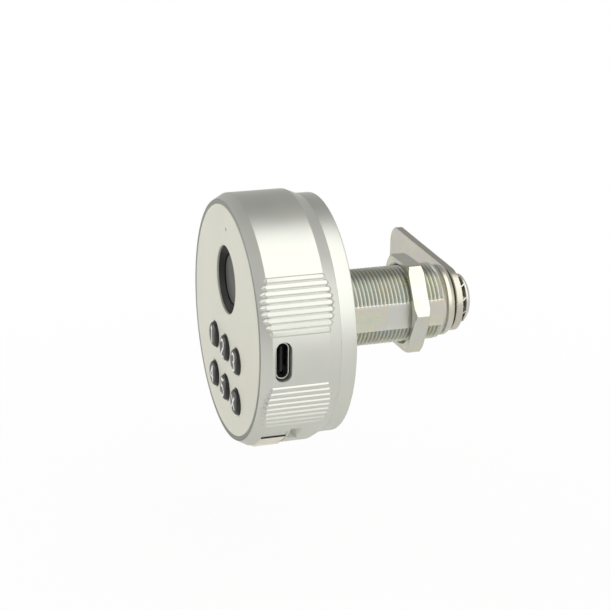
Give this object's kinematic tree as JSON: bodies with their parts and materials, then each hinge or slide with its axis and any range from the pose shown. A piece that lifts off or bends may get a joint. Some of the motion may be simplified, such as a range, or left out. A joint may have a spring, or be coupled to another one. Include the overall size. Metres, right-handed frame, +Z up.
{
  "type": "fingerprint lock",
  "caption": "Round fingerprint and keypad knob lock that turns a cam through a threaded barrel, with a hex nut that clamps it to a door panel.",
  "frame": {"origin": "on the barrel axis, in the plane of the back face of the rear base, which is the front surface of the door", "axes": "+Y along the barrel axis into the door, +Z up with the keypad upright, +X to the side of the charging port"},
  "size_m": [0.0699, 0.0629, 0.0612],
  "materials": {
    "satin_zinc": "satin silver coat on die-cast zinc",
    "pale_plate": "satin cream-silver coat",
    "black_gloss": "gloss",
    "sensor_grey": "smooth dark grey",
    "clear_pipe": "clear",
    "black_matte": "matte",
    "board_green": "solder mask",
    "steel": "bright",
    "grey_plastic": "matte",
    "copper_wire": "enamelled winding",
    "brass": "machined",
    "black_rubber": "matte",
    "zinc_plated": "clear passivated zinc plating"
  },
  "bodies": {
    "base": {"rear_base": "satin_zinc", "base_gasket": "black_rubber", "neck_clip": "steel", "barrel": "zinc_plated", "mounting_nut": "zinc_plated"},
    "knob": {"knob_shell": "satin_zinc", "face_plate": "pale_plate", "sensor_bezel": "black_gloss", "sensor_pad": "sensor_grey", "light_pipe": "clear_pipe", "keypad_film": "black_matte", "main_board": "board_green", "sounder": "black_matte", "port_shell": "steel", "port_tongue": "black_matte", "inner_frame": "grey_plastic", "frame_screws": "steel", "clutch_bracket": "grey_plastic", "clutch_coil": "copper_wire", "clutch_spring": "steel", "battery_contacts": "brass"},
    "spindle_train": {"spindle": "steel", "drive_hub": "brass", "hub_clip": "steel", "cam_plate": "zinc_plated", "star_washer": "zinc_plated", "cam_screw": "zinc_plated"},
    "pin": {"clutch_pin": "steel"},
    "tray": {"battery_tray": "pale_plate", "coin_cell": "steel"},
    "key_1_body": {"key_1": "black_gloss"},
    "key_2_body": {"key_2": "black_gloss"},
    "key_3_body": {"key_3": "black_gloss"},
    "key_4_body": {"key_4": "black_gloss"},
    "key_5_body": {"key_5": "black_gloss"},
    "key_cross_body": {"key_cross": "black_gloss"}
  },
  "joints": [
    {"name": "knob_turn", "type": "hinge", "parent": "base", "child": "knob", "pos_m": [0, 0, 0], "axis": [0, 1, 0], "range_deg": [0, 90]},
    {"name": "spindle_turn", "type": "hinge", "parent": "base", "child": "spindle_train", "pos_m": [0, 0, 0], "axis": [0, 1, 0], "range_deg": [0, 90]},
    {"name": "clutch_lift", "type": "slide", "parent": "knob", "child": "pin", "axis": [0, 0, 1], "range_m": [0, 0.0016], "stiffness_N_per_m": 400, "deforming": ["clutch_spring"]},
    {"name": "tray_slide", "type": "slide", "parent": "knob", "child": "tray", "axis": [0, 0, -1], "range_m": [0, 0.03]},
    {"name": "key_1_press", "type": "slide", "parent": "knob", "child": "key_1_body", "axis": [0, 1, 0], "range_m": [0, 0.0004], "stiffness_N_per_m": 3000},
    {"name": "key_2_press", "type": "slide", "parent": "knob", "child": "key_2_body", "axis": [0, 1, 0], "range_m": [0, 0.0004], "stiffness_N_per_m": 3000},
    {"name": "key_3_press", "type": "slide", "parent": "knob", "child": "key_3_body", "axis": [0, 1, 0], "range_m": [0, 0.0004], "stiffness_N_per_m": 3000},
    {"name": "key_4_press", "type": "slide", "parent": "knob", "child": "key_4_body", "axis": [0, 1, 0], "range_m": [0, 0.0004], "stiffness_N_per_m": 3000},
    {"name": "key_5_press", "type": "slide", "parent": "knob", "child": "key_5_body", "axis": [0, 1, 0], "range_m": [0, 0.0004], "stiffness_N_per_m": 3000},
    {"name": "key_cross_press", "type": "slide", "parent": "knob", "child": "key_cross_body", "axis": [0, 1, 0], "range_m": [0, 0.0004], "stiffness_N_per_m": 3000}
  ],
  "couplings": [
    {"joint": "spindle_turn", "follows": "knob_turn", "ratio": 1}
  ]
}
